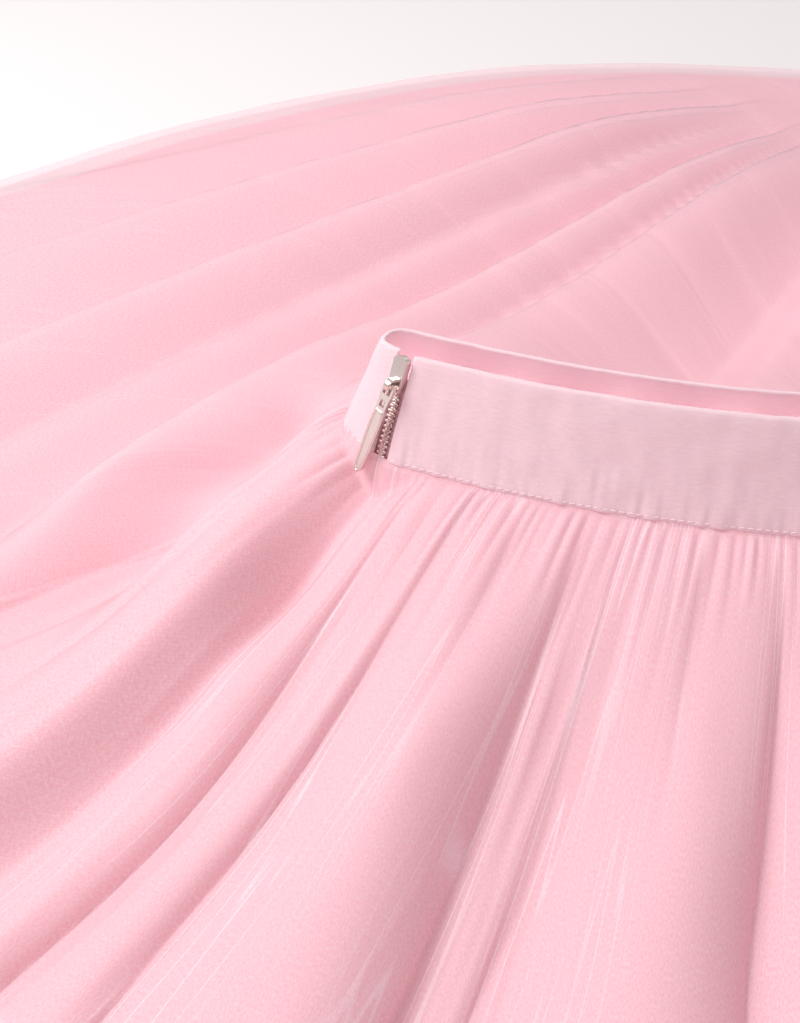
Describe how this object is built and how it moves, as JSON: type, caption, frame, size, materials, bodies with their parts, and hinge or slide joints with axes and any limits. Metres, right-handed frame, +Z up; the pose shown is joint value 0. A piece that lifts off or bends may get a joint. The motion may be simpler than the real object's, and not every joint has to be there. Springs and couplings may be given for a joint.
{
  "type": "gathered tulle skirt",
  "caption": "Soft pink net skirt dropped in a swirled heap, its folded waistband standing up and closed by a metal side zip.",
  "frame": {"origin": "middle of the footprint at the flat underside, on the surface the skirt lies on", "axes": "+Z up from the surface, -Y from the waistband towards the front of the skirt, zip at the -X end of the waistband"},
  "size_m": [1.3911, 1.2467, 0.1456],
  "materials": {
    "waistband_cloth": "fine twill with a soft satin sheen",
    "tulle_net": "fine soft net",
    "tulle_under_layers": "fine soft net in several layers",
    "zip_tape": "woven tape",
    "zip_metal": "polished nickel"
  },
  "bodies": {
    "skirt": {"waistband_front": "waistband_cloth", "waistband_back": "waistband_cloth", "tulle_front": "tulle_net", "tulle_back_right": "tulle_net", "tulle_back_left": "tulle_net", "tulle_under": "tulle_under_layers", "zip_tape_front": "zip_tape", "zip_tape_back": "zip_tape", "zip_chain": "zip_metal", "zip_slider": "zip_metal"},
    "zip_pull": {"zip_pull": "zip_metal"}
  },
  "joints": [
    {"name": "pull_swing", "type": "hinge", "parent": "skirt", "child": "zip_pull", "pos_m": [-0.15688, 0.01513, 0.13635], "axis": [-0.7604, 0.6494, 0], "range_deg": [0, 165]}
  ]
}
